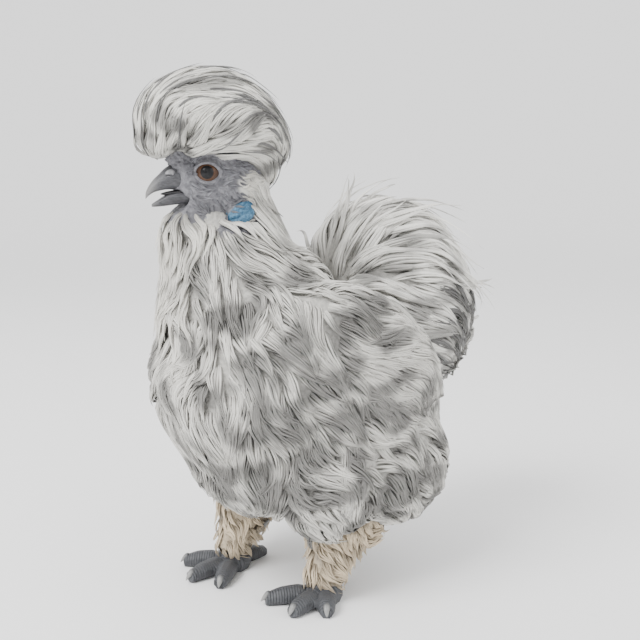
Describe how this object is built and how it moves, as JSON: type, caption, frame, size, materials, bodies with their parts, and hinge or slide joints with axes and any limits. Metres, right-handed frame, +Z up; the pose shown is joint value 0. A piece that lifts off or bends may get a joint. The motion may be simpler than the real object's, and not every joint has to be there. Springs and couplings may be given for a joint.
{
  "type": "silkie chicken",
  "caption": "Life-size silkie chicken standing still with its head turned to its right, in fluffy grey plumage with a round crest and a full tail.",
  "frame": {"origin": "on the floor under the middle of the bird", "axes": "+Z up, -Y ahead of the bird, +X to its left"},
  "size_m": [0.1572, 0.232, 0.308],
  "materials": {
    "plumage": "soft light grey down, matt",
    "plumage_shade": "soft grey down with darker patches, matt",
    "cuff": "cream down, matt",
    "face": "grey skin, satin",
    "horn": "grey horn, satin",
    "claw": "pale horn, satin",
    "toe": "slate scaled skin, satin",
    "eye": "wet gloss",
    "earlobe": "soft bare skin",
    "tongue": "moist skin"
  },
  "bodies": {
    "root": {"back": "plumage", "beard": "plumage", "breast": "plumage_shade", "claw_fifth_left": "claw", "claw_fifth_right": "claw", "claw_inner_left": "claw", "claw_inner_right": "claw", "claw_middle_left": "claw", "claw_middle_right": "claw", "claw_outer_left": "claw", "claw_outer_right": "claw", "claw_rear_left": "claw", "claw_rear_right": "claw", "comb": "face", "crest": "plumage", "cuff_left": "cuff", "cuff_right": "cuff", "earlobe_left": "earlobe", "earlobe_right": "earlobe", "eye_left": "eye", "eye_right": "eye", "head": "face", "lower_bill": "horn", "neck": "plumage", "rump": "plumage_shade", "shank_left": "toe", "shank_right": "toe", "tail": "plumage", "thigh_left": "plumage", "thigh_right": "plumage", "toe_fifth_left": "toe", "toe_fifth_right": "toe", "toe_inner_left": "toe", "toe_inner_right": "toe", "toe_middle_left": "toe", "toe_middle_right": "toe", "toe_outer_left": "toe", "toe_outer_right": "toe", "toe_rear_left": "toe", "toe_rear_right": "toe", "tongue": "tongue", "upper_bill": "horn", "wing_left": "plumage_shade", "wing_right": "plumage_shade"}
  },
  "joints": []
}
